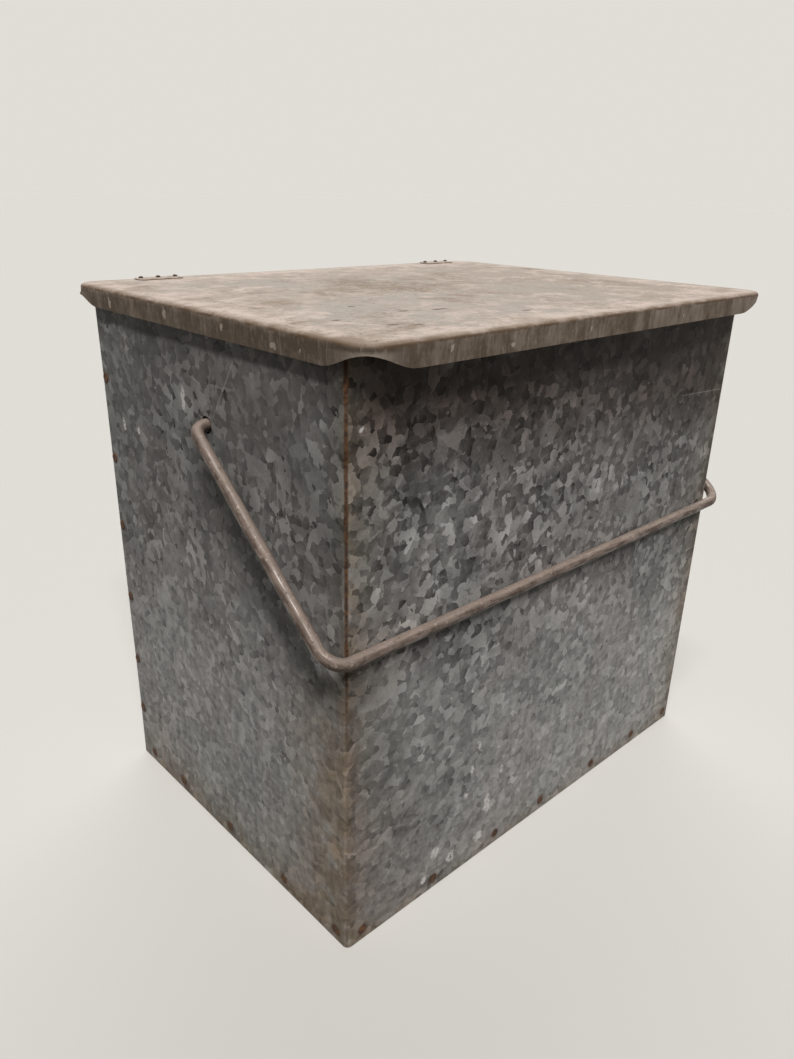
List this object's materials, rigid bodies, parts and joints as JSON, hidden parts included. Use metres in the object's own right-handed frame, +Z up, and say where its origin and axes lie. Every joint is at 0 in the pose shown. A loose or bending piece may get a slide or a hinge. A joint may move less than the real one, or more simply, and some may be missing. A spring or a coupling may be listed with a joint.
{
  "type": "porch milk box",
  "caption": "Insulated porch box of galvanised sheet steel with a hinged overhanging lid and a wire bail that swings over it.",
  "frame": {"origin": "centre of the box's base, on the surface that it stands on", "axes": "+X to the right along the front, +Y to the back, +Z up"},
  "size_m": [0.3416, 0.252, 0.312],
  "materials": {
    "galvanised_wall": "dull spangled zinc coat, blue-grey with brown dirt",
    "galvanised_liner": "cleaner spangled zinc coat",
    "weathered_lid": "oxidised zinc coat, taupe and dusty, with dark rusty bends",
    "bail_wire": "bare round wire, smoothed by handling, brownish",
    "rusty_steel": "dark rusty steel",
    "fibre_board": "plain brown fibre board"
  },
  "bodies": {
    "box": {"shell_wrap": "galvanised_wall", "back_panel": "galvanised_wall", "base_pan": "galvanised_wall", "liner_wall": "galvanised_liner", "liner_floor": "galvanised_liner", "insulation_base": "fibre_board", "insulation_front": "fibre_board", "insulation_back": "fibre_board", "insulation_left": "fibre_board", "insulation_right": "fibre_board", "hinge_body_leaf_left": "rusty_steel", "hinge_body_leaf_right": "rusty_steel", "hinge_pin_left": "rusty_steel", "hinge_pin_right": "rusty_steel", "body_rivet_1": "rusty_steel", "body_rivet_2": "rusty_steel", "body_rivet_3": "rusty_steel", "body_rivet_4": "rusty_steel"},
    "lid": {"lid_pan": "weathered_lid", "lid_inner_pan": "galvanised_liner", "lid_insulation": "fibre_board", "hinge_lid_leaf_left": "rusty_steel", "hinge_lid_leaf_right": "rusty_steel", "hinge_strap_left": "rusty_steel", "hinge_strap_right": "rusty_steel", "lid_rivet_1": "rusty_steel", "lid_rivet_2": "rusty_steel", "lid_rivet_3": "rusty_steel", "lid_rivet_4": "rusty_steel", "lid_rivet_5": "rusty_steel", "lid_rivet_6": "rusty_steel"},
    "bail": {"bail": "bail_wire"}
  },
  "joints": [
    {"name": "lid_hinge", "type": "hinge", "parent": "box", "child": "lid", "pos_m": [0, 0.1119, 0.2965], "axis": [-1, 0, 0], "range_deg": [0, 104]},
    {"name": "bail_swing", "type": "hinge", "parent": "box", "child": "bail", "pos_m": [0, -0.003, 0.255], "axis": [-1, 0, 0], "range_deg": [0, 180]}
  ]
}
